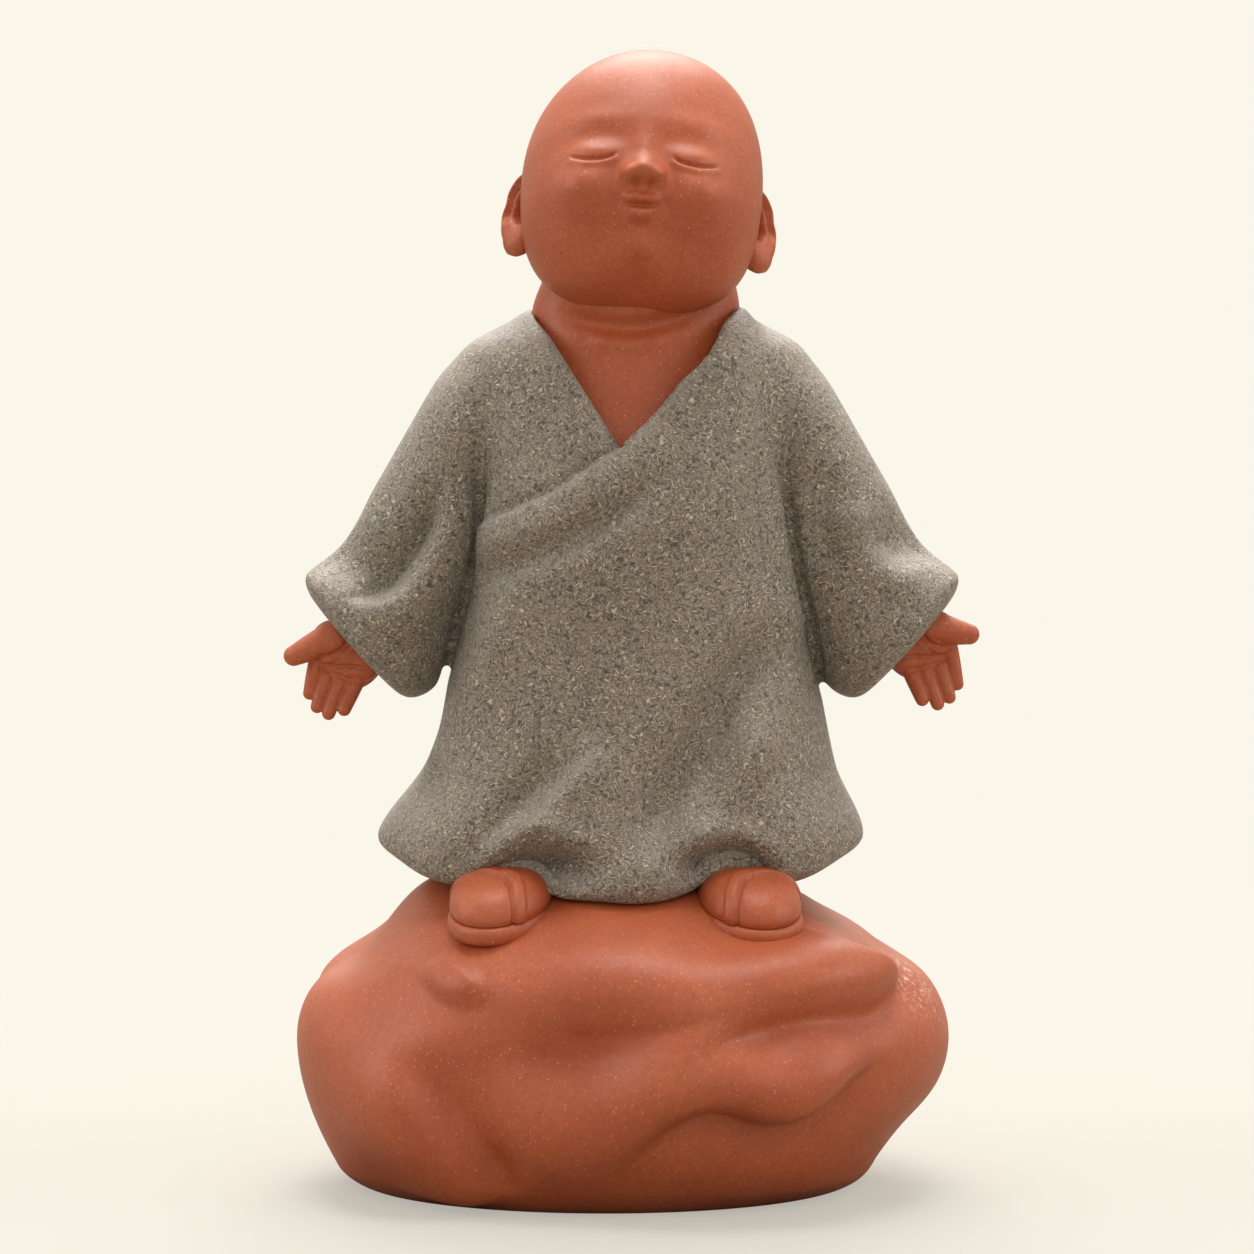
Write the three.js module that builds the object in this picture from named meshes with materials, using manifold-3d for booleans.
// Novice monk tea pet: a standing figure with open arms on a hollow boulder, in two unglazed clays.
// Every piece is formed by itself and luted to its neighbour with slip, as such figures are built.
// Millimetres, +Z up. The figure faces -Y and its own left hand is at +X.
// The origin is under the middle of the object, on the surface that it stands on.
import * as THREE from "three";
import { mergeVertices } from "three/addons/utils/BufferGeometryUtils.js";
import Module from "manifold-3d";

const wasm = await Module();
wasm.setup();

// Driving dimensions

// The film of slip between two luted pieces
const slipGap = 0.3;

// The line of sight that carved and draped lines are drawn along: from the front and a little above
const viewDistance = 900;
const viewElevation = 5.5;
const viewHeight = 67.4;
const viewCentreX = -0.6;

// Boulder: a rounded stone with a flat foot, pressed hollow and open underneath
const rockWidth = 78.6;
const rockDepth = 68;
const rockHeight = 40;
const rockShift = -1.1;
const rockBellyHeight = 18;
const rockFootWidth = 61.5;
const rockFootDepth = 48;
const rockFootShift = -3.4;
const rockFootRound = 2.8;
const rockCrownSlope = 1.2;
const rockWall = 5.5;
const rockFootRim = 8;

// Shoes: a flat sole with a domed upper
const stanceCentreX = -0.8;
const shoeSpread = 14.6;
const shoeSetBack = 16.4;
const shoeToeOut = 16;
const shoePitch = 14;
const shoeSink = 1.6;
const soleLength = 17.4;
const soleWidth = 12.8;
const soleThickness = 2.2;
const upperLength = 16.2;
const upperWidth = 11.8;
const upperHeight = 3.8;

// Robe: heights are above the boulder's crown, widths and depths are half sizes
const figureSetBack = 2;
const hemCentreX = -1.8;
const chestCentreX = 0.2;
const hemHeight = -3.6;
const hemTipRise = 4.6;
const hemTipSpread = 42;
const hemShoeRise = 2.8;
const hemShoeHeading = 27;
const hemShoeSpread = 9;
const hemFlareHeight = 2.4;
const hemHalfWidth = 29.3;
const hemFront = 20.4;
const hemBack = 20;
const hemLip = 2.6;
const skirtHeight = 10.7;
const skirtHalfWidth = 24.7;
const skirtFront = 18.6;
const skirtBack = 18;
const waistHeight = 20.4;
const waistHalfWidth = 22.4;
const waistFront = 17.6;
const waistBack = 16.8;
const chestHeight = 44;
const chestHalfWidth = 19.3;
const chestFront = 16.2;
const chestBack = 15.4;
const shoulderHeight = 58.5;
const shoulderHalfWidth = 20.6;
const shoulderFront = 12;
const shoulderBack = 12.4;
const slopeHeight = 61.2;
const slopeHalfWidth = 19.6;
const slopeFront = 10.8;
const slopeBack = 11.8;
const yokeHeight = 63.6;
const yokeHalfWidth = 15.6;
const yokeFront = 9.6;
const yokeBack = 11.2;
const collarHeight = 65.5;
const collarHalfWidth = 12.5;
const collarFront = 8;
const collarBack = 10.2;
const collarNapeRise = 0.8;

// Neckline and the wrapped front: places across the figure and falls below the collar
const necklineLeft = 12.4;
const necklineRight = 11.4;
const necklineDrop = 16.5;
const necklinePointX = -0.9;
const lapReach = 18.3;
const lapFall = 10.4;
const lapThickness = 1.4;
const lapRollWidth = 6;
const lapRollDepth = 1.4;

// Inner torso: the red body that shows at the neckline and carries the head
const robeThickness = 1.5;
const torsoDepthInRobe = 26;
const neckHalfWidth = 11.7;
const neckFront = 8.8;
const neckBack = 8.4;
const neckRise = 5.4;
const neckPegRadius = 6.4;
const neckPegLength = 4.4;

// Head: half sizes of the plain egg, and how it leans
const headHalfWidth = 14.2;
const headHalfDepth = 15.2;
const headHalfHeight = 15.5;
const headTilt = 28;
const headRoll = 4;
const headLift = -0.4;
const headForward = 2.4;
const headCentreX = 1.2;
const cheekSwell = 1.4;
const jowlSwell = 2.6;

// Face: an infant's plain proportions, as shares of the head's height up from the chin
const eyeLine = 0.4;
const noseLine = 0.3;
const mouthLine = 0.2;
const eyeWidth = 5.6;
const noseLength = 3.4;
const noseWidth = 4.4;
const mouthWidth = 4.6;
const lipHeight = 1.2;

// Ears: long lobed shells set on the sides of the head
const earHeight = 11;
const earDepth = 6.6;
const earThickness = 4;
const earDrop = 5;
const earSetBack = 1.2;
const earFlare = 34;
const earStandOff = -0.5;
const conchaDepth = 1.4;

// Sleeves: wide bags whose mouths face out and down
const armRootInset = 6.2;
const armRootRise = 0.5;
const upperArmInset = 0.1;
const upperArmDrop = 6.2;
const elbowSpread = 24.3;
const elbowHeight = 40;
const armSpread = 31;
const cuffHeight = 27.1;
const armForward = 1;
const sleeveTilt = 38;
const cuffTilt = 41;
const mouthTilt = 46;
const sleeveHalfAtRoot = 4.2;
const sleeveHalfAtUpperArm = 6;
const sleeveHalfAtElbow = 7.9;
const sleeveHalfAtCuff = 10.3;
const sleeveDepthAtRoot = 8;
const sleeveDepthAtUpperArm = 8.8;
const sleeveDepthAtElbow = 8;
const sleeveDepthAtCuff = 8.3;
const cuffRollLength = 4;
const cuffWall = 1.9;
const cuffRecess = 3.2;

// Hands: open palms to the front, placed from the middle of the cuff
const handOutset = 3.3;
const handDrop = 1.6;
const handForward = 1.6;
const handSwing = 19.5;
const palmHalfWidth = 4.1;
const palmHalfLength = 4.4;
const palmHalfDepth = 1.8;
const wristRadius = 2.6;
const wristLength = 6.4;
const fingerRadius = 0.95;
const fingerPitch = 1.66;
const fingerLength = 4.9;
const fingerFan = -2;
const thumbRadius = 1.4;
const thumbLength = 5.6;
const thumbAngle = 49;

// Facets around each form
const rockFrontFacets = 40;
const rockBackFacets = 20;
const hollowFacets = 22;
const robeFrontFacets = 34;
const robeBackFacets = 12;
const torsoFacets = 24;
const headFacets = 28;
const sleeveFacets = 18;
const shoeFacets = 20;
const digitFacets = 7;

const redClay = new THREE.MeshStandardMaterial({ color: 0xb26448, roughness: 0.5, metalness: 0 });
const greyClay = new THREE.MeshStandardMaterial({ color: 0x877c6d, roughness: 0.75, metalness: 0 });

// Values that follow from the driving dimensions

const crown = rockHeight;
const collarZ = crown + collarHeight;
const headCentre = new THREE.Vector3(
  headCentreX,
  figureSetBack - headForward,
  collarZ + headLift + headHalfHeight,
);
const { degToRad, clamp, lerp, smoothstep } = THREE.MathUtils;

// Solids and skins

// A closed geometry as a solid that can be cut and joined.
function solid(geometry) {
  const bare = geometry.clone();
  bare.deleteAttribute("normal");
  bare.deleteAttribute("uv");
  const merged = mergeVertices(bare, 1e-4);
  return new wasm.Manifold(
    new wasm.Mesh({
      numProp: 3,
      vertProperties: new Float32Array(merged.attributes.position.array),
      triVerts: new Uint32Array(merged.index.array),
    }),
  );
}

// A solid as a geometry for a mesh.
function geometryOf(made) {
  const { vertProperties, triVerts } = made.getMesh();
  const geometry = new THREE.BufferGeometry();
  geometry.setAttribute("position", new THREE.BufferAttribute(vertProperties, 3));
  geometry.setIndex(new THREE.BufferAttribute(triVerts, 1));
  geometry.computeVertexNormals();
  return geometry;
}

// A closed skin over a stack of rings of points, with both ends fanned to their middles.
function skin(rings) {
  const count = rings[0].length;
  const points = rings.flat();
  const faces = [];
  for (let level = 0; level < rings.length - 1; level += 1) {
    for (let i = 0; i < count; i += 1) {
      const next = (i + 1) % count;
      const low = level * count;
      const high = low + count;
      faces.push(low + i, low + next, high + next, low + i, high + next, high + i);
    }
  }
  const fan = (ring, start, up) => {
    const middle = ring.reduce((sum, p) => sum.add(p), new THREE.Vector3()).divideScalar(count);
    points.push(middle);
    for (let i = 0; i < count; i += 1) {
      const next = (i + 1) % count;
      if (up) faces.push(start + i, start + next, points.length - 1);
      else faces.push(start + next, start + i, points.length - 1);
    }
  };
  fan(rings[0], 0, false);
  fan(rings.at(-1), (rings.length - 1) * count, true);
  const geometry = new THREE.BufferGeometry().setFromPoints(points);
  geometry.setIndex(faces);
  return geometry;
}

// The same geometry seen in a mirror that stands on X = 0.
function mirrored(geometry) {
  const twin = geometry.clone().applyMatrix4(new THREE.Matrix4().makeScale(-1, 1, 1));
  const order = twin.index.array;
  for (let i = 0; i < order.length; i += 3) [order[i + 1], order[i + 2]] = [order[i + 2], order[i + 1]];
  return twin;
}

// An egg: a sphere drawn out to three half sizes, with its poles on Z.
function egg(halfWidth, halfDepth, halfHeight, around, up) {
  return new THREE.SphereGeometry(1, around, up)
    .rotateX(Math.PI / 2)
    .scale(halfWidth, halfDepth, halfHeight);
}

// A finger-like form: a round-ended rod that tapers from one point to another.
function digit(from, to, rootRadius, tipRadius) {
  const along = to.clone().sub(from);
  const rod = new THREE.CapsuleGeometry(1, along.length(), 2, digitFacets);
  rod.translate(0, along.length() / 2, 0);
  const place = rod.attributes.position;
  for (let i = 0; i < place.count; i += 1) {
    const share = clamp(place.getY(i) / along.length(), 0, 1);
    const radius = lerp(rootRadius, tipRadius, share);
    const past = place.getY(i) - share * along.length();
    place.setXYZ(i, place.getX(i) * radius, share * along.length() + past * radius, place.getZ(i) * radius);
  }
  const upright = new THREE.Vector3(0, 1, 0);
  rod.applyQuaternion(new THREE.Quaternion().setFromUnitVectors(upright, along.normalize()));
  return rod.translate(from.x, from.y, from.z);
}

// A smooth line through stations [place, value, value, ...], read at one place.
function through(stations, place) {
  const last = stations.length - 1;
  const at = clamp(place, stations[0][0], stations[last][0]);
  const next = clamp(stations.findIndex((s) => s[0] >= at), 1, last);
  const [a, b] = [stations[next - 1], stations[next]];
  const [before, after] = [stations[Math.max(next - 2, 0)], stations[Math.min(next + 1, last)]];
  const run = b[0] - a[0];
  const t = (at - a[0]) / run;
  return a.slice(1).map((value, k) => {
    const j = k + 1;
    const slopeA = ((b[j] - before[j]) / (b[0] - before[0])) * run;
    const slopeB = ((after[j] - a[j]) / (after[0] - a[0])) * run;
    const bend = 2 * a[j] - 2 * b[j] + slopeA + slopeB;
    return value + t * (slopeA + t * (3 * (b[j] - a[j]) - 2 * slopeA - slopeB + t * bend));
  });
}

const hump = (distance, width) => Math.exp(-((distance / width) ** 2));

// The angle between two headings round the vertical, in degrees from -180 to 180.
const turnBetween = (a, b) => ((a - b + 540) % 360) - 180;

// Headings round the vertical in degrees, closer together on the front half than on the back.
function headings(front, back) {
  const ahead = Array.from({ length: front }, (_, i) => (180 * i) / front - 90);
  const behind = Array.from({ length: back }, (_, i) => (180 * i) / back + 90);
  return [...ahead, ...behind];
}

// Rings whose points stand out along their own normals, by a rise that depends on the place.
function raised(rings, riseAt) {
  const count = rings[0].length;
  return rings.map((ring, level) => {
    const below = rings[Math.max(level - 1, 0)];
    const above = rings[Math.min(level + 1, rings.length - 1)];
    return ring.map((p, i) => {
      const around = ring[(i + 1) % count].clone().sub(ring[(i + count - 1) % count]);
      const normal = around.cross(above[i].clone().sub(below[i])).normalize();
      return p.clone().addScaledVector(normal, riseAt(p, normal));
    });
  });
}

// Strokes: lines that are carved, pressed or pulled up as they are seen from the front

// A place as it is seen along the line of sight, in millimetres right of and above the middle of the view.
function asSeen(p) {
  const tilt = degToRad(viewElevation);
  const off = p.clone().sub(new THREE.Vector3(viewCentreX, 0, viewHeight));
  const ahead = viewDistance + off.y * Math.cos(tilt) - off.z * Math.sin(tilt);
  const up = off.z * Math.cos(tilt) + off.y * Math.sin(tilt);
  return new THREE.Vector2(off.x, up).multiplyScalar(viewDistance / ahead);
}

// How far a surface faces the viewer: 1 on the front, falling to 0 at the outline and behind.
function facing(normal) {
  const tilt = degToRad(viewElevation);
  return smoothstep(normal.z * Math.sin(tilt) - normal.y * Math.cos(tilt), 0.02, 0.4);
}

// The distance from a stroke, positive on the left of its way, and the share of the stroke that is passed.
function beside(line, seen) {
  let nearest = Infinity;
  let found = { distance: 0, share: 0 };
  for (let i = 0; i < line.length - 1; i += 1) {
    const run = line[i + 1].clone().sub(line[i]);
    const off = seen.clone().sub(line[i]);
    const part = clamp(off.dot(run) / run.lengthSq(), 0, 1);
    off.addScaledVector(run, -part);
    if (off.length() < nearest) {
      nearest = off.length();
      const side = run.cross(off) < 0 ? -1 : 1;
      found = { distance: side * nearest, share: (i + part) / (line.length - 1) };
    }
  }
  return found;
}

// A stroke's pressure grows over its first part and lifts over its last.
const pressure = (share, first = 0.22, last = 0.22) =>
  smoothstep(share, 0, first) * (1 - smoothstep(share, 1 - last, 1));

// A line that is pulled up, or pressed in where its rise is negative.
function ridgeAt(seen, { line, rise, width }) {
  const { distance, share } = beside(line, seen);
  return rise * pressure(share) * hump(distance, width);
}

// A line where a rounded lobe on its left stands over the other side, with a groove under the lobe.
function creaseAt(seen, { line, groove, lobe, width }) {
  const lobeRound = 2 * width;
  const lobeReach = 4.8 * width;
  const { distance, share } = beside(line, seen);
  const into = clamp(distance / lobeRound, 0, 1);
  const round = Math.sqrt(1 - (1 - into) ** 2) * (1 - smoothstep(distance, lobeRound, lobeReach));
  const flank = distance > 0 ? 0.5 * width : 1.5 * width;
  return pressure(share, 0.4, 0.25) * (lobe * round - groove * hump(distance, flank));
}

// A soft round swelling, or a hollow where its rise is negative.
function spotAt(seen, { middle, radii, rise }) {
  return rise * hump(Math.hypot((seen.x - middle.x) / radii.x, (seen.y - middle.y) / radii.y), 1);
}

// Strokes with their lines drawn on a grid that turns shares into millimetres.
function drawnOn(grid, strokes) {
  return strokes.map((made) => {
    const line = new THREE.SplineCurve(made.path.map(grid)).getPoints(8 * made.path.length);
    return { ...made, line };
  });
}

// What a whole table adds at a place.
const total = (table, riseAt, place) => table.reduce((sum, made) => sum + riseAt(place, made), 0);

// Spots set on such a grid.
function setOn(grid, spots) {
  return spots.map((made) => {
    const middle = grid(made.at);
    const edge = grid([made.at[0] + made.spread[0], made.at[1] + made.spread[1]]);
    return { ...made, middle, radii: edge.sub(middle) };
  });
}

// Boulder

// The front of the stone as it is seen: shares of its half width, and of its height above the foot.
const onRockFront = ([x, y]) => new THREE.Vector2((x * rockWidth) / 2, y * rockHeight - viewHeight);

// The stone unrolled: headings in degrees and shares of its height. 0 is the front and 90 the figure's left.
const rockArc = (rockWidth + rockDepth) / 4;
const onRockSide = ([heading, y]) => new THREE.Vector2(degToRad(heading) * rockArc, y * rockHeight);

// Worn creases, with a rounded lobe on the upper side
const rockCreases = drawnOn(onRockFront, [
  {
    path: [[0.1, 0.31], [0.2, 0.37], [0.32, 0.45], [0.45, 0.5], [0.6, 0.52], [0.75, 0.55], [0.83, 0.63],
      [0.82, 0.75]],
    groove: 0.9,
    lobe: 3.2,
    width: 3.3,
  },
  {
    path: [[-0.06, 0], [0.06, 0.11], [0.19, 0.19], [0.29, 0.22], [0.43, 0.18], [0.56, 0.21], [0.7, 0.32],
      [0.84, 0.44]],
    groove: 0.9,
    lobe: 3.8,
    width: 3.5,
  },
  {
    path: [[-0.32, -0.04], [-0.47, 0.11], [-0.58, 0.23], [-0.68, 0.37], [-0.75, 0.49]],
    groove: 1,
    lobe: 2.2,
    width: 3.6,
  },
  {
    path: [[-0.67, 0.7], [-0.65, 0.64], [-0.58, 0.57], [-0.51, 0.56], [-0.45, 0.57], [-0.39, 0.62]],
    groove: 0.6,
    lobe: 1.1,
    width: 2.2,
  },
]);
const rockLips = drawnOn(onRockFront, [
  { path: [[-0.59, 0.67], [-0.31, 0.62], [0, 0.6], [0.36, 0.62], [0.74, 0.71]], rise: 1.1, width: 5 },
]);

// Broad hollows and swellings of the front: the dish under the lip, the slab on the left and the low bulges
const rockSwellings = setOn(onRockFront, [
  { at: [-0.2, 0.36], spread: [0.33, 0.19], rise: -3.2 },
  { at: [0.64, 0.66], spread: [0.2, 0.11], rise: 1.2 },
  { at: [-0.79, 0.25], spread: [0.18, 0.18], rise: 1.5 },
  { at: [-0.79, 0.54], spread: [0.15, 0.13], rise: -1 },
  { at: [0.48, 0.04], spread: [0.28, 0.1], rise: 1 },
  { at: [-0.2, 0.11], spread: [0.23, 0.1], rise: 1 },
]);

// The sides and the back
const rockBackCreases = drawnOn(onRockSide, [
  { path: [[103, 0.3], [128, 0.43], [147, 0.4], [169, 0.5]], groove: 1.4, lobe: 1.6, width: 4 },
  { path: [[-169, 0.28], [-147, 0.43], [-122, 0.44], [-94, 0.6]], groove: 1.4, lobe: 1.6, width: 4 },
]);
const rockSideSwellings = setOn(onRockSide, [
  { at: [-86, 0.89], spread: [27, 0.065], rise: 2.2 },
  { at: [-89, 0.73], spread: [27, 0.08], rise: -1.9 },
  { at: [89, 0.84], spread: [27, 0.05], rise: -1.3 },
  { at: [89, 0.74], spread: [27, 0.065], rise: -1.4 },
  { at: [78, 0.15], spread: [20, 0.13], rise: -1.2 },
  { at: [180, 0.63], spread: [22, 0.18], rise: 1.4 },
  { at: [-141, 0.2], spread: [22, 0.15], rise: -1.4 },
]);

// How far the stone's skin stands out from the plain boulder.
function rockRelief(p, normal) {
  const seen = asSeen(p);
  const round = new THREE.Vector2(
    Math.atan2((p.x - rockShift) / rockWidth, -p.y / rockDepth) * rockArc,
    p.z,
  );
  const lines = total(rockLips, ridgeAt, seen) + total(rockCreases, creaseAt, seen);
  const front = lines + total(rockSwellings, spotAt, seen);
  const sides = total(rockBackCreases, creaseAt, round) + total(rockSideSwellings, spotAt, round);
  const aboveFoot = smoothstep(p.z, 0.01 * rockHeight, 0.08 * rockHeight);
  const belowCrown = 1 - smoothstep(p.z, 0.95 * rockHeight, 0.99 * rockHeight);
  return (front * facing(normal) + sides) * aboveFoot * belowCrown;
}

// One ring of the boulder. A level runs from 0 at the foot to 1 at the belly and 2 at the crown.
function rockRing(level, grow, carved) {
  const belly = clamp(level, 0, 1) * Math.PI / 2;
  const dome = clamp(level - 1, 0, 1) * Math.PI / 2;
  const inset = carved ? 0 : rockWall;
  const high = rockHeight - inset + grow - rockBellyHeight;
  const z = level < 1 ? rockBellyHeight * level : rockBellyHeight + high * Math.sin(dome);
  const swell = level < 1 ? Math.sin(belly) : Math.cos(dome) ** rockCrownSlope;
  const size = (foot, full) => {
    const base = foot / 2 - (carved ? 0 : rockFootRim) + grow;
    const most = full / 2 - inset + grow;
    return level < 1 ? lerp(base, most, swell) : most * swell;
  };
  const middle = lerp(rockFootShift, rockShift, Math.sin(belly));
  const [ahead, behind] = carved ? [rockFrontFacets, rockBackFacets] : [hollowFacets / 2, hollowFacets / 2];
  return headings(ahead, behind).map((heading) => {
    const angle = degToRad(heading);
    const x = size(rockFootWidth, rockWidth) * Math.sin(angle);
    const y = -size(rockFootDepth, rockDepth) * Math.cos(angle);
    return new THREE.Vector3(middle + x, y, z);
  });
}

// The edge of the foot is rounded under, so that the stone meets the table in a shadow line.
function tuckedUnder(p) {
  const low = clamp(1 - p.z / rockFootRound, 0, 1);
  const tuck = rockFootRound * (1 - Math.sqrt(1 - low ** 2));
  const keep = 1 - (2 * tuck) / rockFootWidth;
  return new THREE.Vector3(p.x * keep, p.y * keep, p.z);
}

function rockBody(grow) {
  const levels = [0, 0.04, 0.1, 0.18, 0.27, 0.36, 0.45, 0.54, 0.63, 0.73, 0.86, 1];
  for (let dome = 0.08; dome < 0.99; dome += 0.08) levels.push(1 + dome);
  const plain = levels.map((level) => rockRing(level, grow, true));
  return solid(skin(raised(plain, rockRelief).map((ring) => ring.map(tuckedUnder))));
}

// The pressed hollow, open through the foot.
function rockHollow() {
  const levels = [0.2, 0.45, 0.7, 1, 1.25, 1.5, 1.75, 1.92];
  const rings = levels.map((level) => rockRing(level, 0, false));
  const mouth = rockRing(0, 0, false);
  const below = mouth.map((p) => new THREE.Vector3(p.x, p.y, -1));
  return solid(skin([below, mouth, ...rings]));
}

// The height of the plain boulder's upper surface over a place.
function rockTopAt(x, y) {
  const out = Math.hypot((2 * (x - rockShift)) / rockWidth, (2 * y) / rockDepth);
  const dome = Math.acos(Math.min(1, out) ** (1 / rockCrownSlope));
  return rockBellyHeight + (rockHeight - rockBellyHeight) * Math.sin(dome);
}

// Shoes, built with the middle of the sole's underside at the origin

function soleSolid(grow) {
  const outline = (shrink, z) =>
    Array.from({ length: shoeFacets }, (_, i) => {
      const angle = (2 * Math.PI * i) / shoeFacets;
      const heel = 1 - 0.12 * (1 - Math.cos(angle)) * 0.5;
      const x = (soleWidth / 2 - shrink + grow) * Math.sin(angle) * heel;
      return new THREE.Vector3(x, -(soleLength / 2 - shrink + grow) * Math.cos(angle), z);
    });
  const edge = soleThickness * 0.3;
  return solid(
    skin([
      outline(edge, -grow),
      outline(0, edge - grow),
      outline(0, soleThickness - edge + grow),
      outline(edge, soleThickness + grow),
    ]),
  );
}

function upperSolid(grow) {
  const seat = soleThickness + slipGap;
  const rings = [];
  for (let rise = 0; rise < 0.99; rise += 0.14) {
    const z = Math.sin((rise * Math.PI) / 2);
    const draw = Math.cos((rise * Math.PI) / 2) ** 0.55;
    rings.push(
      Array.from({ length: shoeFacets }, (_, i) => {
        const angle = (2 * Math.PI * i) / shoeFacets;
        const x = (upperWidth / 2 + grow) * draw * Math.sin(angle);
        const y = -(upperLength / 2 + grow) * draw * Math.cos(angle);
        return new THREE.Vector3(x, y, seat - grow + (upperHeight + 2 * grow) * z);
      }),
    );
  }
  return solid(skin(rings));
}

// Where a shoe stands: side is 1 for the figure's left foot and -1 for its right.
function shoeFrame(side) {
  const x = stanceCentreX + side * shoeSpread;
  const y = figureSetBack - shoeSetBack;
  const turn = new THREE.Euler(degToRad(shoePitch), 0, side * degToRad(shoeToeOut), "ZXY");
  const place = new THREE.Vector3(x, y, rockTopAt(x, y) - shoeSink);
  return new THREE.Matrix4().compose(
    place,
    new THREE.Quaternion().setFromEuler(turn),
    new THREE.Vector3(1, 1, 1),
  );
}

const moved = (made, frame) => made.transform(frame.toArray());

// Robe

// Broad folds all round the skirt: heading, how far each stands out, its width in degrees and the height that
// it fades over.
const robeFolds = [
  { heading: 0, out: 1.2, width: 14, fade: 15 },
  { heading: -22, out: -1.5, width: 10, fade: 12 },
  { heading: 22, out: -1.4, width: 10, fade: 16 },
  { heading: -46, out: 0.5, width: 12, fade: 20 },
  { heading: 46, out: 0.5, width: 12, fade: 16 },
  { heading: -66, out: -0.3, width: 9, fade: 16 },
  { heading: 66, out: -0.3, width: 9, fade: 14 },
  { heading: 125, out: -1.2, width: 12, fade: 16 },
  { heading: 150, out: 1, width: 12, fade: 18 },
  { heading: 178, out: -1.1, width: 12, fade: 15 },
  { heading: -150, out: 1, width: 12, fade: 18 },
  { heading: -122, out: -1.2, width: 12, fade: 16 },
];

// The front of the robe as it is seen: shares of the hem's half width and of the robe's height.
const onRobeFront = ([x, y]) => new THREE.Vector2(x * hemHalfWidth, crown + y * collarHeight - viewHeight);

// Folds that hang across the front, and the hollows over the shoes with the swelling between them
const robeRidges = drawnOn(onRobeFront, [
  { path: [[-0.48, 0.48], [-0.53, 0.41], [-0.7, 0.24], [-0.81, 0.15], [-0.86, 0.1]], rise: 0.9, width: 2.8 },
  { path: [[-0.07, 0.22], [-0.18, 0.15], [-0.36, 0.06], [-0.56, 0], [-0.69, -0.06]], rise: 1.7, width: 2.4 },
  { path: [[-0.17, 0.21], [-0.44, 0.09], [-0.67, -0.03], [-0.72, -0.06]], rise: -1.3, width: 2.2 },
  { path: [[0.76, 0.44], [0.64, 0.38], [0.41, 0.25], [0.18, 0.09], [0.07, -0.04]], rise: -1.8, width: 2.8 },
  { path: [[0.62, 0.27], [0.53, 0.19], [0.37, 0.07], [0.3, 0.01], [0.28, -0.03]], rise: 1.5, width: 2.4 },
  { path: [[-0.69, -0.06], [-0.59, 0], [-0.41, 0.04], [-0.24, 0.03], [-0.1, -0.01]], rise: 0.9, width: 2.4 },
  { path: [[0.17, -0.02], [0.31, 0.03], [0.45, 0.04], [0.59, 0.01], [0.71, -0.06]], rise: 0.9, width: 2.4 },
]);
const robeSpots = setOn(onRobeFront, [
  { at: [-0.39, -0.03], spread: [0.17, 0.046], rise: -3.8 },
  { at: [0.43, -0.025], spread: [0.17, 0.046], rise: -3.8 },
  { at: [0.03, -0.05], spread: [0.17, 0.046], rise: 0.9 },
]);

// How far the drapery of the front stands out from the plain robe.
function drapery(p, normal) {
  const seen = asSeen(p);
  return (total(robeRidges, ridgeAt, seen) + total(robeSpots, spotAt, seen)) * facing(normal);
}

// Height of the hem above the crown: it lifts over the shoes and at the flared sides.
function hemAt(heading) {
  const fromFront = Math.abs(turnBetween(heading, 0));
  const sides = hump(fromFront - 90, hemTipSpread);
  const shoes = hump(fromFront - hemShoeHeading, hemShoeSpread);
  return hemHeight + hemTipRise * sides + hemShoeRise * shoes;
}

const robeStations = [
  [hemHeight, hemHalfWidth - hemLip * 0.4, hemFront, hemBack],
  [hemFlareHeight, hemHalfWidth, hemFront, hemBack],
  [skirtHeight, skirtHalfWidth, skirtFront, skirtBack],
  [waistHeight, waistHalfWidth, waistFront, waistBack],
  [chestHeight, chestHalfWidth, chestFront, chestBack],
  [shoulderHeight, shoulderHalfWidth, shoulderFront, shoulderBack],
  [slopeHeight, slopeHalfWidth, slopeFront, slopeBack],
  [yokeHeight, yokeHalfWidth, yokeFront, yokeBack],
  [collarHeight, collarHalfWidth, collarFront, collarBack],
];

// The figure leans a little to its left above the skirt.
const leanAt = (height) => lerp(hemCentreX, chestCentreX, smoothstep(height, hemHeight, waistHeight * 0.8));

// The collar stands a little higher at the nape than at the front.
function collarAt(heading) {
  return collarHeight + collarNapeRise * smoothstep(Math.abs(turnBetween(heading, 0)), 80, 150);
}

// How far a place on the front lies below the edge of the upper panel of the wrapped robe.
function belowLap(x, height) {
  const point = collarHeight - necklineDrop;
  return point - ((necklinePointX - x) * lapFall) / lapReach - height;
}

// A soft crease runs along the front, below the rolled edge of the upper panel.
function lapCrease(x, height, heading) {
  const front = 1 - smoothstep(Math.abs(turnBetween(heading, 0)), 66, 88);
  const fade = smoothstep(necklinePointX - x, -2, lapReach * 0.6);
  return lapRollDepth * front * fade * hump(belowLap(x, height) - lapRollWidth, lapRollWidth * 0.3);
}

// The upper panel stands out by one thickness of clay along its edge and sinks into the robe further down.
function panelRise(x, height, heading) {
  const sink = smoothstep(belowLap(x, height), lapRollWidth, lapRollWidth * 3.4);
  const round = smoothstep(heading, 34, 76);
  return lapThickness * (1 - 1.7 * Math.max(sink, round));
}

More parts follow.
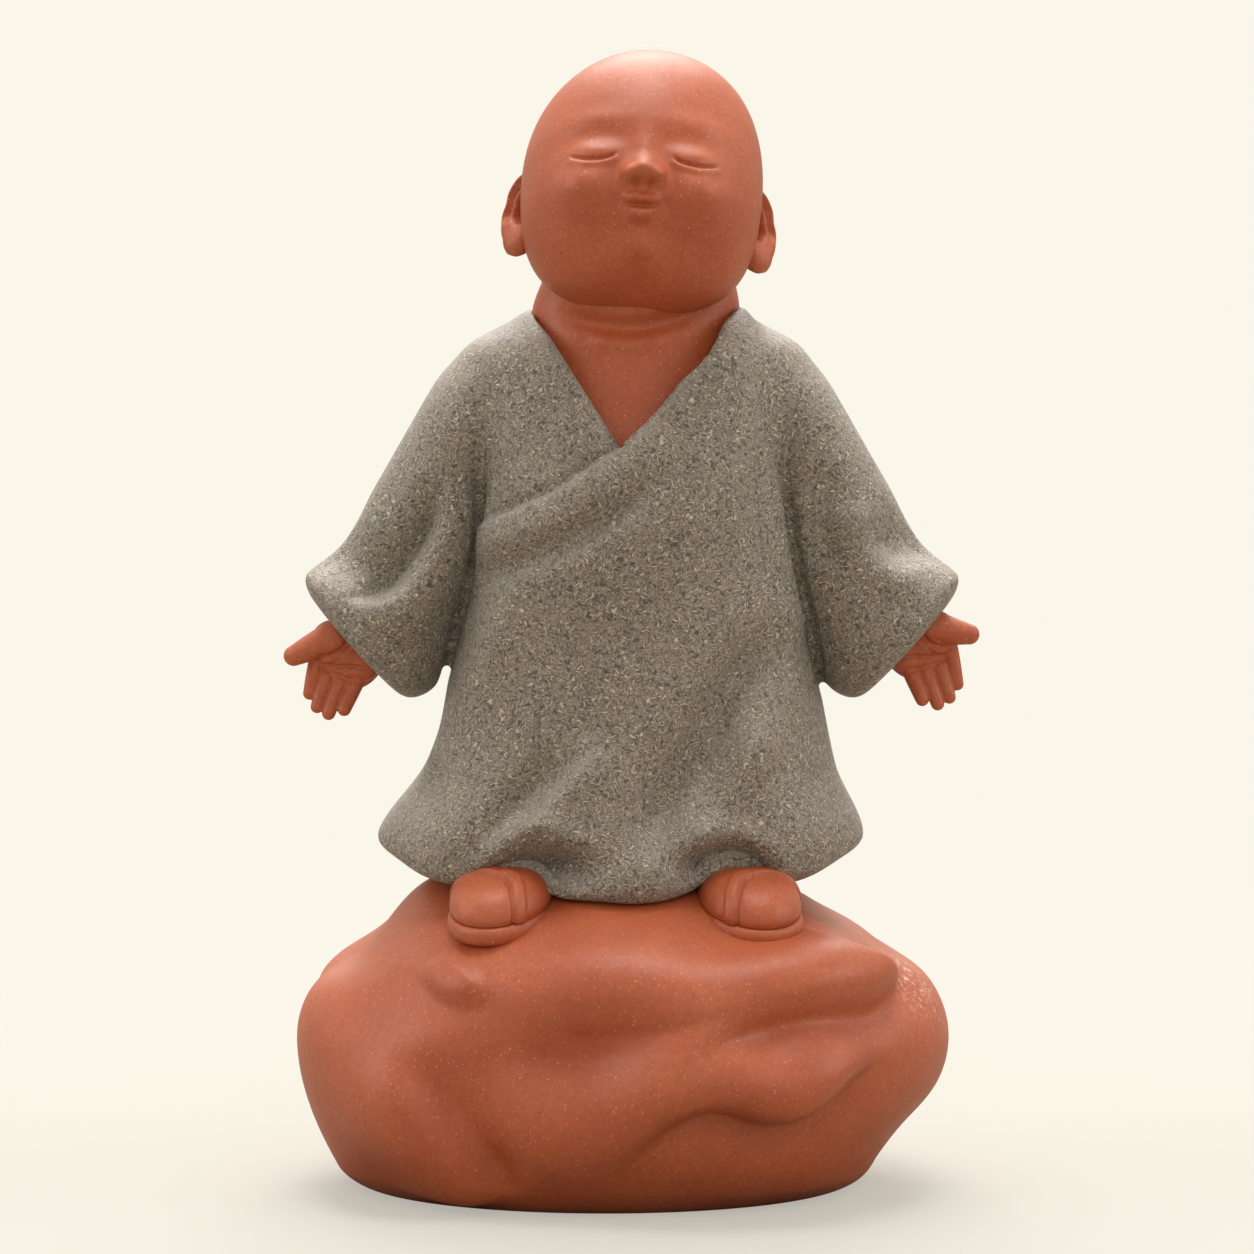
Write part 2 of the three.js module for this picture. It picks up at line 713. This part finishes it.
function robeRing(level, grow, panel) {
  return headings(robeFrontFacets, robeBackFacets).map((heading) => {
    const angle = degToRad(heading);
    const hem = hemAt(heading);
    const height = lerp(hem, collarAt(heading), level);
    const [half, front, back] = through(robeStations, height);
    const square = 2 / 2.25;
    const across = Math.sign(Math.sin(angle)) * Math.abs(Math.sin(angle)) ** square;
    const along = Math.sign(Math.cos(angle)) * Math.abs(Math.cos(angle)) ** square;
    let out = grow - lapCrease(half * across, height, heading);
    for (const fold of robeFolds) {
      out += fold.out * hump(turnBetween(heading, fold.heading), fold.width) * hump(height - hem, fold.fade);
    }
    if (panel) out += panelRise(half * across, height, heading);
    const depth = Math.cos(angle) > 0 ? front : back;
    return new THREE.Vector3(
      leanAt(height) + (half + out) * across,
      figureSetBack - (depth + out) * along,
      crown + height + (level > 0.99 ? grow : 0),
    );
  });
}

// The robe's outside, solid within, with a rounded hem and a recessed underside.
function robeWrap(grow, panel) {
  const levels = [0, 0.025, 0.06, 0.1, 0.14, 0.18, 0.23, 0.28, 0.34, 0.41, 0.48, 0.55, 0.61, 0.66];
  for (let level = 0.71; level < 0.98; level += 0.05) levels.push(level);
  const plain = [...levels, 1].map((level) => robeRing(level, grow, panel));
  const [hem, ...rings] = raised(plain, drapery);
  const drawnIn = (inset, lift) =>
    hem.map((p) => {
      const middle = new THREE.Vector3(leanAt(0), figureSetBack, p.z + lift);
      const reach = Math.hypot(p.x - middle.x, p.y - middle.y);
      const keep = (reach - inset) / reach;
      return new THREE.Vector3(lerp(middle.x, p.x, keep), lerp(middle.y, p.y, keep), middle.z - grow);
    });
  const underside = drawnIn(hemLip * 1.4, 1.6).map((p) => p.setZ(Math.min(p.z, crown + 1.5)));
  return solid(skin([underside, drawnIn(hemLip * 0.5, -0.2), ...rings]));
}

// A flat outline cut from front to back through the front half of the robe.
function frontPrism(shape) {
  const depth = hemFront * 2;
  const prism = new THREE.ExtrudeGeometry(shape, { depth, bevelEnabled: false, curveSegments: 6 });
  return solid(prism.rotateX(Math.PI / 2).translate(0, figureSetBack, 0));
}

// The edge of the upper panel, from the collar on the figure's left down to the point of the neckline.
function drawUpperEdge(shape) {
  const point = collarZ - necklineDrop;
  shape.quadraticCurveTo(necklineLeft * 0.42, point + necklineDrop * 0.26, necklinePointX, point);
}

// The robe with its upper panel laid over the front.
function robeBody(grow) {
  const wide = hemHalfWidth;
  const shape = new THREE.Shape();
  shape.moveTo(wide, collarZ);
  shape.lineTo(necklineLeft, collarZ);
  drawUpperEdge(shape);
  const fallTo = collarZ - necklineDrop - (lapFall * (wide + necklinePointX)) / lapReach;
  shape.lineTo(-wide, fallTo);
  shape.lineTo(-wide, crown + waistHeight);
  shape.lineTo(wide, crown + waistHeight);
  shape.closePath();
  return robeWrap(grow, false).add(robeWrap(grow, true).intersect(frontPrism(shape)));
}

// The neckline's V, cut through the front of the robe.
function necklineCut() {
  const top = collarZ + collarNapeRise * 4;
  const shape = new THREE.Shape();
  shape.moveTo(-necklineRight, top);
  shape.lineTo(necklineLeft, top);
  shape.lineTo(necklineLeft, collarZ);
  drawUpperEdge(shape);
  shape.lineTo(-necklineRight, collarZ);
  shape.closePath();
  return frontPrism(shape);
}

// Torso

// The red inner body: chest inside the robe, then the neck, then a peg that the head sits on.
function torsoBody(grow) {
  const bottom = collarHeight - torsoDepthInRobe;
  const peg = collarHeight + neckRise + neckPegLength;
  const chestLine = bottom + torsoDepthInRobe * 0.42;
  const inRobe = (height) => through(robeStations, height).map((half) => half - robeThickness - slipGap);
  const chest = inRobe(chestLine);
  const yoke = inRobe(shoulderHeight);
  const shift = headCentreX - leanAt(collarHeight);
  const stations = [
    [bottom, chest[0] * 0.62, chest[1] * 0.9, chest[2] * 0.7],
    [chestLine, chest[0] * 0.72, chest[1], chest[2] * 0.76],
    [shoulderHeight, yoke[0] * 0.7, yoke[1], yoke[2] * 0.8],
    [collarHeight, neckHalfWidth, neckFront, neckBack],
    [collarHeight + neckRise, neckHalfWidth * 0.88, neckFront * 0.9, neckBack * 0.9],
    [peg, neckPegRadius, neckPegRadius, neckPegRadius],
  ];
  const rings = [];
  const count = 11;
  for (let i = 0; i <= count; i += 1) {
    const height = lerp(bottom, peg, i / count);
    const [half, front, back] = through(stations, height);
    const lift = i === 0 ? -grow : i === count ? grow : 0;
    const toHead = smoothstep(height, collarHeight - neckRise, collarHeight + 2 * neckRise);
    rings.push(
      Array.from({ length: torsoFacets }, (_, k) => {
        const angle = (2 * Math.PI * k) / torsoFacets;
        const depth = Math.cos(angle) > 0 ? front : back;
        return new THREE.Vector3(
          leanAt(height) + shift * toHead + (half + grow) * Math.sin(angle),
          figureSetBack - (depth + grow) * Math.cos(angle),
          crown + height + lift,
        );
      }),
    );
  }
  return solid(skin(rings));
}

// Head, built round its own middle with the face level and to the front

// Soft swellings of the head: where they point, their rise and their spread in degrees.
const headForms = [
  { to: [0.56, -0.72, -0.4], rise: cheekSwell, spread: 27 },
  { to: [-0.56, -0.72, -0.4], rise: cheekSwell, spread: 27 },
  { to: [0.64, -0.08, -0.76], rise: jowlSwell, spread: 28 },
  { to: [-0.64, -0.08, -0.76], rise: jowlSwell, spread: 28 },
  { to: [0, -0.78, -0.62], rise: 0.5, spread: 20 },
  { to: [0, -0.72, 0.69], rise: 0.5, spread: 34 },
  { to: [0, 0.86, 0.5], rise: 0.6, spread: 40 },
  { to: [0.64, -0.1, 0.76], rise: 0.9, spread: 32 },
  { to: [0.39, -0.91, -0.1], rise: -0.7, spread: 13 },
  { to: [-0.39, -0.91, -0.1], rise: -0.7, spread: 13 },
].map((form) => ({ ...form, to: new THREE.Vector3(...form.to).normalize() }));

function headBody(grow) {
  const form = new THREE.SphereGeometry(1, headFacets, 18).rotateX(Math.PI / 2);
  const place = form.attributes.position;
  const toward = new THREE.Vector3();
  for (let i = 0; i < place.count; i += 1) {
    toward.fromBufferAttribute(place, i).normalize();
    let rise = grow;
    for (const { to, rise: most, spread } of headForms) {
      rise += most * hump(toward.angleTo(to), degToRad(spread));
    }
    place.setXYZ(
      i,
      toward.x * (headHalfWidth + rise),
      toward.y * (headHalfDepth + rise),
      toward.z * (headHalfHeight + rise),
    );
  }
  return solid(form);
}

// A place on the front of the plain egg: how far across, and the share of the head's height up from the chin.
function facePlace(across, share) {
  const z = headHalfHeight * (2 * share - 1);
  const left = 1 - (across / headHalfWidth) ** 2 - (z / headHalfHeight) ** 2;
  return new THREE.Vector3(across, -headHalfDepth * Math.sqrt(left), z);
}

// A small round nose with its two wings.
function noseSolid() {
  const tip = facePlace(0, noseLine).add(new THREE.Vector3(0, -noseLength * 0.12, noseLength * 0.3));
  const bridge = egg(noseWidth * 0.28, noseLength * 0.5, noseLength * 0.8, 8, 8);
  bridge.translate(tip.x, tip.y + noseLength * 0.12, tip.z + noseLength * 0.4);
  const ball = egg(noseWidth * 0.34, noseLength * 0.55, noseLength * 0.42, 10, 8);
  ball.translate(tip.x, tip.y, tip.z);
  let nose = solid(bridge).add(solid(ball));
  for (const side of [1, -1]) {
    const wing = egg(noseWidth * 0.22, noseLength * 0.36, noseLength * 0.3, 8, 6);
    wing.translate(side * noseWidth * 0.3, tip.y + noseLength * 0.2, tip.z - noseLength * 0.04);
    nose = nose.add(solid(wing));
  }
  return nose;
}

// Closed eyelids and a small closed mouth.
function calmFeatures() {
  let features = noseSolid();
  const lay = (form, place, sunk) => {
    features = features.add(solid(form.translate(place.x, place.y + sunk, place.z)));
  };
  for (const side of [1, -1]) {
    const lid = egg(eyeWidth * 0.48, eyeWidth * 0.2, eyeWidth * 0.2, 12, 6).rotateZ(side * degToRad(22));
    lay(lid, facePlace(side * eyeWidth, eyeLine), eyeWidth * 0.09);
  }
  const upperLip = egg(mouthWidth / 2, lipHeight * 0.7, lipHeight / 2, 12, 6);
  const lowerLip = egg(mouthWidth * 0.38, lipHeight * 0.7, lipHeight / 2, 12, 6);
  lay(upperLip, facePlace(0, mouthLine), -lipHeight * 0.2);
  lay(lowerLip.translate(0, lipHeight * 0.2, -lipHeight * 0.85), facePlace(0, mouthLine), -lipHeight * 0.1);
  return features;
}

const headTurn = new THREE.Euler(-degToRad(headTilt), degToRad(headRoll), 0);
const headFrame = new THREE.Matrix4().compose(
  headCentre,
  new THREE.Quaternion().setFromEuler(headTurn),
  new THREE.Vector3(1, 1, 1),
);

// An ear in the head's own frame: a leaf-shaped shell with a hollow, and a heavy lobe below.
function earSolid(side) {
  const rim = egg(earThickness / 2, earDepth / 2, earHeight * 0.4, 14, 10).translate(0, 0, earHeight * 0.1);
  const lobe = egg(earThickness * 0.55, earDepth * 0.34, earHeight * 0.24, 12, 8);
  lobe.translate(earThickness * 0.1, -earDepth * 0.06, -earHeight * 0.27);
  const concha = egg(conchaDepth, earDepth * 0.27, earHeight * 0.24, 10, 8);
  concha.translate(earThickness / 2, -earDepth * 0.08, earHeight * 0.08);
  const shell = solid(rim).add(solid(lobe)).subtract(solid(concha));
  const turn = new THREE.Euler(degToRad(-headTilt * 0.4), 0, -side * degToRad(earFlare));
  const frame = new THREE.Matrix4().compose(
    new THREE.Vector3(side * (headHalfWidth + earStandOff), earSetBack, -earDrop),
    new THREE.Quaternion().setFromEuler(turn),
    new THREE.Vector3(1, 1, 1),
  );
  const facing = side > 0 ? shell : solid(mirrored(geometryOf(shell)));
  return moved(facing, frame).subtract(headBody(slipGap));
}

// Sleeves, built for the figure's left side

const rootPoint = new THREE.Vector3(
  shoulderHalfWidth - armRootInset,
  figureSetBack,
  crown + shoulderHeight + armRootRise,
);
const upperArmPoint = new THREE.Vector3(
  shoulderHalfWidth - upperArmInset,
  figureSetBack - armForward * 0.2,
  crown + shoulderHeight - upperArmDrop,
);
const elbowPoint = new THREE.Vector3(elbowSpread, figureSetBack - armForward * 0.6, crown + elbowHeight);
const cuffPoint = new THREE.Vector3(armSpread, figureSetBack - armForward, crown + cuffHeight);
const sleeveSpine = new THREE.CatmullRomCurve3([rootPoint, upperArmPoint, elbowPoint, cuffPoint]);

// The mouth of the sleeve faces out and down.
const mouthFacing = new THREE.Vector3(Math.sin(degToRad(mouthTilt)), 0, -Math.cos(degToRad(mouthTilt)));

// A section of the sleeve whose long way runs outwards and up by its tilt.
function sleeveRing(middle, half, depth, tilt) {
  const across = new THREE.Vector3(Math.cos(degToRad(tilt)), 0, Math.sin(degToRad(tilt)));
  return Array.from({ length: sleeveFacets }, (_, i) => {
    const angle = (2 * Math.PI * i) / sleeveFacets;
    return middle
      .clone()
      .addScaledVector(across, half * Math.cos(angle))
      .add(new THREE.Vector3(0, depth * Math.sin(angle), 0));
  });
}

function sleeveBody() {
  const stations = [
    [0, sleeveHalfAtRoot, sleeveDepthAtRoot, sleeveTilt],
    [1 / 3, sleeveHalfAtUpperArm, sleeveDepthAtUpperArm, sleeveTilt],
    [2 / 3, sleeveHalfAtElbow, sleeveDepthAtElbow, sleeveTilt],
    [1, sleeveHalfAtCuff, sleeveDepthAtCuff, cuffTilt],
  ];
  const buried = rootPoint.clone().addScaledVector(sleeveSpine.getTangent(0), -sleeveHalfAtRoot * 0.5);
  const rings = [sleeveRing(buried, sleeveHalfAtRoot * 0.6, sleeveDepthAtRoot * 0.6, sleeveTilt)];
  const count = 9;
  for (let i = 0; i <= count; i += 1) {
    const [half, depth, tilt] = through(stations, i / count);
    rings.push(sleeveRing(sleeveSpine.getPoint(i / count), half, depth, tilt));
  }
  const pastCuff = (share) => cuffPoint.clone().addScaledVector(mouthFacing, cuffRollLength * share);
  const rimEnd = 0.55;
  const rimDraw = 0.82;
  for (const [share, draw] of [[0.3, 0.95], [rimEnd, rimDraw]]) {
    rings.push(sleeveRing(pastCuff(share), sleeveHalfAtCuff * draw, sleeveDepthAtCuff * draw, mouthTilt));
  }
  const mouthHalf = sleeveHalfAtCuff * rimDraw - cuffWall * 0.5;
  const mouthDepth = sleeveDepthAtCuff * rimDraw - cuffWall * 0.5;
  const mouthSteps = [[rimEnd - cuffRecess / cuffRollLength, 0.8], [rimEnd, 1], [rimEnd * 2, 1]];
  const mouth = mouthSteps.map(([share, narrow]) =>
    sleeveRing(pastCuff(share), mouthHalf * narrow, mouthDepth * narrow, mouthTilt),
  );
  return solid(skin(rings.reverse())).subtract(solid(skin(mouth.reverse())));
}

// Hands, built for the figure's left side: palm to the front, fingers down, thumb out

const handFrame = new THREE.Matrix4().compose(
  cuffPoint.clone().add(new THREE.Vector3(handOutset, -handForward, -handDrop)),
  new THREE.Quaternion().setFromEuler(new THREE.Euler(0, -degToRad(handSwing), 0)),
  new THREE.Vector3(1, 1, 1),
);

function handSolid(grow) {
  let hand = solid(egg(palmHalfWidth + grow, palmHalfDepth + grow, palmHalfLength + grow, 12, 8));
  const wristRoot = new THREE.Vector3(0, 0, palmHalfLength * 0.4);
  const wristEnd = new THREE.Vector3(
    -palmHalfWidth * 0.25,
    palmHalfDepth * 0.3,
    palmHalfLength * 0.4 + wristLength,
  );
  hand = hand.add(solid(digit(wristRoot, wristEnd, wristRadius + grow, wristRadius + grow)));
  for (let finger = 0; finger < 4; finger += 1) {
    const offset = (finger - 1.5) * fingerPitch;
    const reach = fingerLength * [0.85, 1.06, 1.06, 0.89][finger];
    const fan = degToRad(fingerFan) * (finger - 1.5);
    const root = new THREE.Vector3(offset, 0, -palmHalfLength * 0.49);
    const tip = new THREE.Vector3(
      root.x + reach * Math.sin(fan),
      -fingerRadius * 0.9,
      root.z - reach * Math.cos(fan),
    );
    hand = hand.add(solid(digit(root, tip, fingerRadius * 1.12 + grow, fingerRadius * 0.9 + grow)));
  }
  const thumbRoot = new THREE.Vector3(palmHalfWidth * 0.42, -palmHalfDepth * 0.54, palmHalfLength * 0.3);
  const thumbWay = new THREE.Vector3(Math.sin(degToRad(thumbAngle)), -0.12, -Math.cos(degToRad(thumbAngle)));
  const thumbTip = thumbRoot.clone().addScaledVector(thumbWay.normalize(), thumbLength);
  hand = hand.add(solid(digit(thumbRoot, thumbTip, thumbRadius * 1.2 + grow, thumbRadius * 0.9 + grow)));
  return moved(hand, handFrame);
}

// Assembly

const monk = new THREE.Group();
const head = new THREE.Group();
head.position.copy(headCentre);
head.rotation.copy(headTurn);
monk.add(head);

function addPiece(parent, name, material, geometry) {
  const mesh = new THREE.Mesh(geometry, material);
  mesh.name = name;
  parent.add(mesh);
  return mesh;
}

const sides = [
  { name: "left", side: 1 },
  { name: "right", side: -1 },
];

let rock = rockBody(0).subtract(rockHollow());
const torso = torsoBody(0);
const torsoRoom = torsoBody(slipGap);
const robeRoom = robeBody(slipGap);
let robe = robeBody(0).subtract(torsoRoom).subtract(necklineCut()).subtract(rockBody(slipGap));
robe = robe.subtract(moved(headBody(slipGap), headFrame));

for (const { name, side } of sides) {
  const frame = shoeFrame(side);
  const shoeRoom = moved(soleSolid(slipGap).add(upperSolid(slipGap)), frame);
  rock = rock.subtract(shoeRoom);
  robe = robe.subtract(shoeRoom);
  const shoe = new THREE.Group();
  shoe.applyMatrix4(frame);
  monk.add(shoe);
  addPiece(shoe, `${name}_shoe_sole`, redClay, geometryOf(soleSolid(0)));
  addPiece(shoe, `${name}_shoe_upper`, redClay, geometryOf(upperSolid(0)));
}

addPiece(monk, "rock_base", redClay, geometryOf(rock));
addPiece(monk, "robe_body", greyClay, geometryOf(robe));
addPiece(monk, "neck_and_chest", redClay, geometryOf(torso));

const headRoom = moved(torsoRoom, headFrame.clone().invert());
addPiece(head, "head", redClay, geometryOf(headBody(0).add(calmFeatures()).subtract(headRoom)));
for (const { name, side } of sides) {
  addPiece(head, `${name}_ear`, redClay, geometryOf(earSolid(side)));
  const sleeve = geometryOf(sleeveBody().subtract(handSolid(slipGap)));
  const hand = geometryOf(handSolid(0));
  const sleeveThere = side > 0 ? sleeve : mirrored(sleeve);
  addPiece(monk, `${name}_sleeve`, greyClay, geometryOf(solid(sleeveThere).subtract(robeRoom)));
  addPiece(monk, `${name}_hand`, redClay, side > 0 ? hand : mirrored(hand));
}

export default monk;
